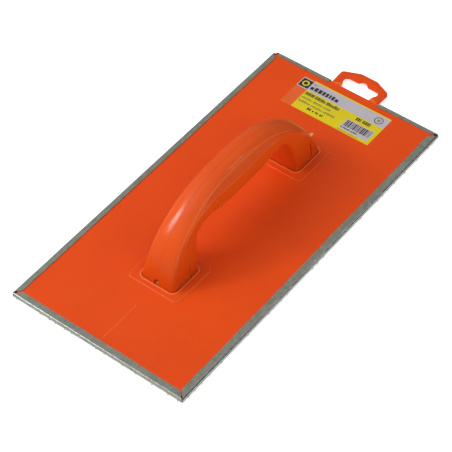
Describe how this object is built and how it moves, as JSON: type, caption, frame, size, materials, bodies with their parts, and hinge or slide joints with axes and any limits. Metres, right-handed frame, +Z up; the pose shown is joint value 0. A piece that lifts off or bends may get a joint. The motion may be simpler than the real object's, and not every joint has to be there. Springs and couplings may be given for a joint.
{
  "type": "abrasive plastering float",
  "caption": "Rectangular plastering float: moulded plastic board with a hollow bridge handle, a hang tab and a folded steel abrasive sole with punched teeth.",
  "frame": {"origin": "centre of the sole rectangle, in the plane that the tooth tips touch", "axes": "+X along the float towards the hang tab, +Y across it, +Z up from the sole to the handle"},
  "size_m": [0.361, 0.17, 0.073],
  "materials": {
    "orange_abs_board": "moulded orange plastic, satin",
    "orange_abs_handle": "moulded orange plastic, semi-gloss",
    "screw_steel": "zinc plated",
    "galvanised_steel": "galvanised, faint spangle, folded and punched",
    "label_paper": null
  },
  "bodies": {
    "root": {"board": "orange_abs_board", "handle_left_shell": "orange_abs_handle", "handle_right_shell": "orange_abs_handle", "handle_screws": "screw_steel", "abrasive_sheet": "galvanised_steel", "label": "label_paper"}
  },
  "joints": []
}
